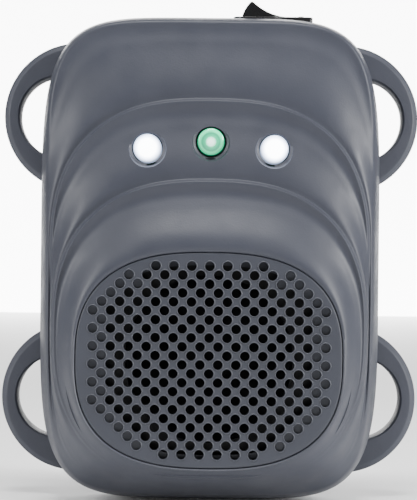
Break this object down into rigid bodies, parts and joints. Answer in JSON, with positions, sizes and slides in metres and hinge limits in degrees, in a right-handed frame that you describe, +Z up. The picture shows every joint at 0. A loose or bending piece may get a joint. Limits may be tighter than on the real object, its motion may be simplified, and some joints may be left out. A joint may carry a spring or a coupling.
{
  "type": "electronic game caller",
  "caption": "Wall-hung electronic caller: stepped plastic case with oval speaker grille, lamps, rocker switch, battery door and strap loops.",
  "frame": {"origin": "on the flat back face, midway between the two upper mounting loops, where the unit hangs", "axes": "+Z up towards the switch, +X to the right as the front is seen, +Y out of the back face; the speaker faces -Y"},
  "size_m": [0.0936, 0.04, 0.111],
  "materials": {
    "shell": "moulded, fine grain",
    "grille": "moulded, fine grain",
    "rubber": "matte",
    "steel": "zinc plated",
    "contact_metal": "nickel plated",
    "cell": "printed sleeve, plain",
    "black_plastic": "semi-gloss",
    "tray": "moulded",
    "board": "solder resist",
    "chip": "matte",
    "copper": "enamelled wire",
    "can": "sleeve",
    "plug": "natural nylon",
    "white_lamp": "lit lens",
    "green_lamp": "lit lens",
    "cone": "treated paper",
    "brass": "satin",
    "red_wire": "insulation",
    "black_wire": "insulation"
  },
  "bodies": {
    "case": {"front_shell": "shell", "rear_shell": "shell", "speaker_grille": "grille", "case_gasket": "rubber", "speaker_foam": "rubber", "case_screw_1": "steel", "case_screw_2": "steel", "case_screw_3": "steel", "case_screw_4": "steel", "door_hinge_pin": "steel", "tray_screw_1": "steel", "tray_screw_2": "steel", "board_screw_1": "steel", "board_screw_2": "steel", "board_screw_3": "steel", "board_screw_4": "steel", "speaker_screw_1": "steel", "speaker_screw_2": "steel", "contact_positive": "contact_metal", "contact_bridge_top": "contact_metal", "contact_bridge_bottom": "contact_metal", "contact_negative": "contact_metal", "terminal_common": "contact_metal", "terminal_on": "contact_metal", "battery_1": "cell", "battery_2": "cell", "battery_3": "cell", "switch_housing": "black_plastic", "speaker_frame": "black_plastic", "battery_tray": "tray", "lamp_spacer_left": "tray", "lamp_spacer_middle": "tray", "lamp_spacer_right": "tray", "main_board": "board", "controller_chip": "chip", "step_up_coil": "copper", "capacitor_1": "can", "capacitor_2": "can", "battery_plug": "plug", "speaker_plug": "plug", "strobe_lamp_left": "white_lamp", "strobe_lamp_right": "white_lamp", "indicator_lamp": "green_lamp", "speaker_cone": "cone", "piezo_disc": "brass", "wire_battery_positive": "red_wire", "wire_speaker_red": "red_wire", "wire_switch_board": "black_wire", "wire_battery_negative": "black_wire", "wire_speaker_black": "black_wire"},
    "door": {"battery_door": "shell", "door_seal": "rubber", "door_screw": "steel"},
    "rocker": {"rocker": "black_plastic", "plunger": "plug", "plunger_spring": "steel"},
    "blade": {"contact_blade": "contact_metal"}
  },
  "joints": [
    {"name": "door_hinge", "type": "hinge", "parent": "case", "child": "door", "pos_m": [0, -0.0024, -0.0768], "axis": [-1, 0, 0], "range_deg": [0, 90]},
    {"name": "rocker_tilt", "type": "hinge", "parent": "case", "child": "rocker", "pos_m": [0.0136, -0.0073, 0.0208], "axis": [0, -1, 0], "range_deg": [0, 32]},
    {"name": "blade_tilt", "type": "hinge", "parent": "case", "child": "blade", "pos_m": [0.0136, -0.0073, 0.0122], "axis": [0, -1, 0], "range_deg": [-12, 0]}
  ],
  "couplings": [
    {"joint": "blade_tilt", "follows": "rocker_tilt", "ratio": -0.375}
  ]
}
